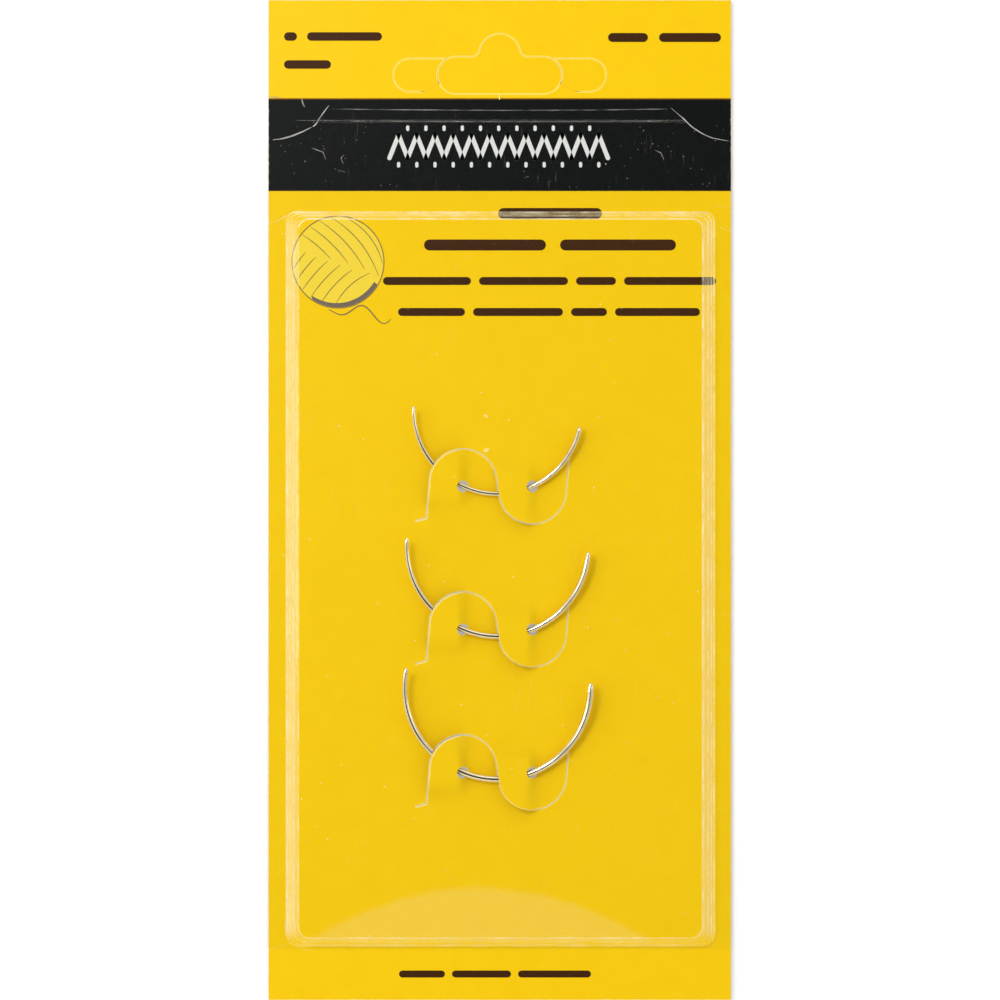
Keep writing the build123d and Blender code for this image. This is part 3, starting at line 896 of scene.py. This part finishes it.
def needle_piece(name, diameter, length, bend, point_angle, row_y):
    """A needle as two half shells of rings, joined into a tube where it has no eye."""
    rise = math.radians(TILT)
    normal = Vector((0, -math.sin(rise), math.cos(rise)))
    across, up = Vector((1, 0, 0)), Vector((0, math.cos(rise), math.sin(rise)))
    centre = Vector((
        SHIFT,
        row_y + math.sqrt(bend**2 - REACH**2) * math.cos(rise),
        CARD_FACE + 0.05 + diameter / 2 + bend * math.sin(rise),
    ))
    span = math.degrees(length / bend)
    points, faces, rings = [], [], []
    for place in stations():
        if place <= TAPER_PART:
            wide = thick = between(TAPER, place / TAPER_PART, 1)
            eye = 0
        else:
            t = max(0.0, (place - HEAD_START) / (1 - HEAD_START))
            wide, thick, eye = (between(HEAD, t, c) for c in (1, 2, 3))
        angle = math.radians(point_angle + span * place)
        outward = across * math.cos(angle) + up * math.sin(angle)
        spot = centre + outward * bend
        w, h, e = (diameter / 2 * v for v in (wide, thick, eye))

        def on_ring(a):
            points.append(spot + normal * (w * math.cos(a)) + outward * (h * math.sin(a)))
            return len(points) - 1

        if eye < 1e-6:
            ring = [on_ring(2 * math.pi * k / AROUND) for k in range(AROUND)]
            halves = [
                [ring[(j + turn) % AROUND] for j in range(HALF_ROUND + 1)]
                for turn in (-AROUND // 4, AROUND // 4)
            ]
        else:
            reach = math.acos(e / w)
            halves = [
                [on_ring(base - reach + 2 * reach * j / HALF_ROUND) for j in range(HALF_ROUND + 1)]
                for base in (0, math.pi)
            ]
        rings.append((halves, eye >= 1e-6))
    for (one, one_open), (two, two_open) in zip(rings, rings[1:]):
        for a, b in zip(one, two):
            for j in range(HALF_ROUND):
                faces.append([a[j], b[j], b[j + 1], a[j + 1]])
            if one_open or two_open:
                faces.append([a[0], a[-1], b[-1], b[0]])
    for (halves, _), flip in ((rings[0], False), (rings[-1], True)):
        loop = halves[0][:-1] + halves[1][:-1]
        faces.append(loop[::-1] if flip else loop)
    piece = make("bright_" + name, points, faces, name, nickel_material(name + "_nickel"), smooth=True)
    work = bmesh.new()
    work.from_mesh(piece.data)
    bmesh.ops.recalc_face_normals(work, faces=work.faces)
    soften(work, 50)
    work.to_mesh(piece.data)
    work.free()
    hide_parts(name)


for name, facts in needles.items():
    needle_piece(name, *facts)

# Floor: pale paper that looks brighter than it is lit, to the camera and in metal and glass
FLOOR_HALF = 1.5
s = Shader("floor_paper")
grain = s.noise(s.place()[0], 0.3, 3.0, 0.5)
paper = s.node("BsdfDiffuse", {"Color": s.mix(grain, (0.74, 0.74, 0.74), (0.76, 0.76, 0.76))})
rays = s.node("LightPath").outputs
shown = s.either(rays["Is Camera Ray"], rays["Is Glossy Ray"], rays["Is Transmission Ray"])
glow = s.node("Emission", {"Color": WHITE, "Strength": s.times(shown, 0.32)})
both = s.node("AddShader", {0: paper.outputs[0], 1: glow.outputs[0]})
mesh = bpy.data.meshes.new("floor")
mesh.from_pydata(
    [(x * FLOOR_HALF, y * FLOOR_HALF, 0) for x, y in ((-1, -1), (1, -1), (1, 1), (-1, 1))],
    [], [(0, 1, 2, 3)],
)
mesh.materials.append(s.finish(both.outputs[0]))
link(bpy.data.objects.new("floor", mesh))

# Studio: soft white all round, dimmer on one side, with two dark patches overhead, which the metal
# shows as dark lines
SLANT = math.sqrt(0.5)
s = Shader("studio", bpy.data.worlds)
bpy.context.scene.world = s.mat
x, y, z = s.split(s.node("TexCoord").outputs["Generated"])
leaning = s.times(s.plus(x, y), SLANT)
crossing = s.times(s.minus(x, y), SLANT)
patches = []
for a, long, b, short in ((leaning, 0.75, crossing, 0.19), (y, 0.5, x, 0.15)):
    far = [s.math("POWER", s.math("DIVIDE", v, reach), 2.0) for v, reach in ((a, long), (b, short))]
    patches.append(s.ramp(s.plus(*far), 0.75, 1.25, 1.0, 0.0, True))
dark = s.times(s.either(*patches), s.ramp(z, 0.0, 0.2))
bright = s.ramp(crossing, -0.2, 0.9, 0.88, 0.55)
strength = s.times(bright, s.ramp(dark, 0.0, 1.0, 1.0, 0.03))
background = s.node("Background", {"Color": WHITE, "Strength": strength})
s.node("OutputWorld", {0: background.outputs[0]})

# Soft rectangular lamps aimed at the card's middle: place and size in metres, and power
for name, place, size, power in (
    ("key", (-0.2, 0.2, 0.46), (0.14, 0.14), 0.8),
    ("left_strip", (-0.55, 0.0, 0.4), (0.12, 0.7), 0.8),
    ("right_strip", (0.55, 0.0, 0.4), (0.12, 0.7), 0.2),
    ("top_strip", (0.0, 0.6, 0.45), (0.7, 0.12), 0.25),
    ("foot_strip", (0.0, -0.6, 0.45), (0.7, 0.12), 0.25),
):
    light = bpy.data.lights.new(name, "AREA")
    light.shape = "RECTANGLE"
    light.size, light.size_y = size
    light.energy = power
    lamp = link(bpy.data.objects.new(name, light))
    lamp.location = place
    lamp.rotation_euler = Vector(place).to_track_quat("Z", "Y").to_euler()

# The camera looks straight down, from where the photograph's 1000 pixels fill the frame
camera = bpy.data.cameras.new("camera")
camera.lens, camera.sensor_width = 100, 36
camera.clip_start = 0.01
view = link(bpy.data.objects.new("camera", camera))
view.location = (
    (FRAME_MIDDLE - CARD_MIDDLE_X) * PX * MM,
    0,
    CARD_FACE * MM + 2 * FRAME_MIDDLE * PX * MM * camera.lens / camera.sensor_width,
)
bpy.context.scene.camera = view
bpy.context.scene.view_settings.view_transform = "Standard"
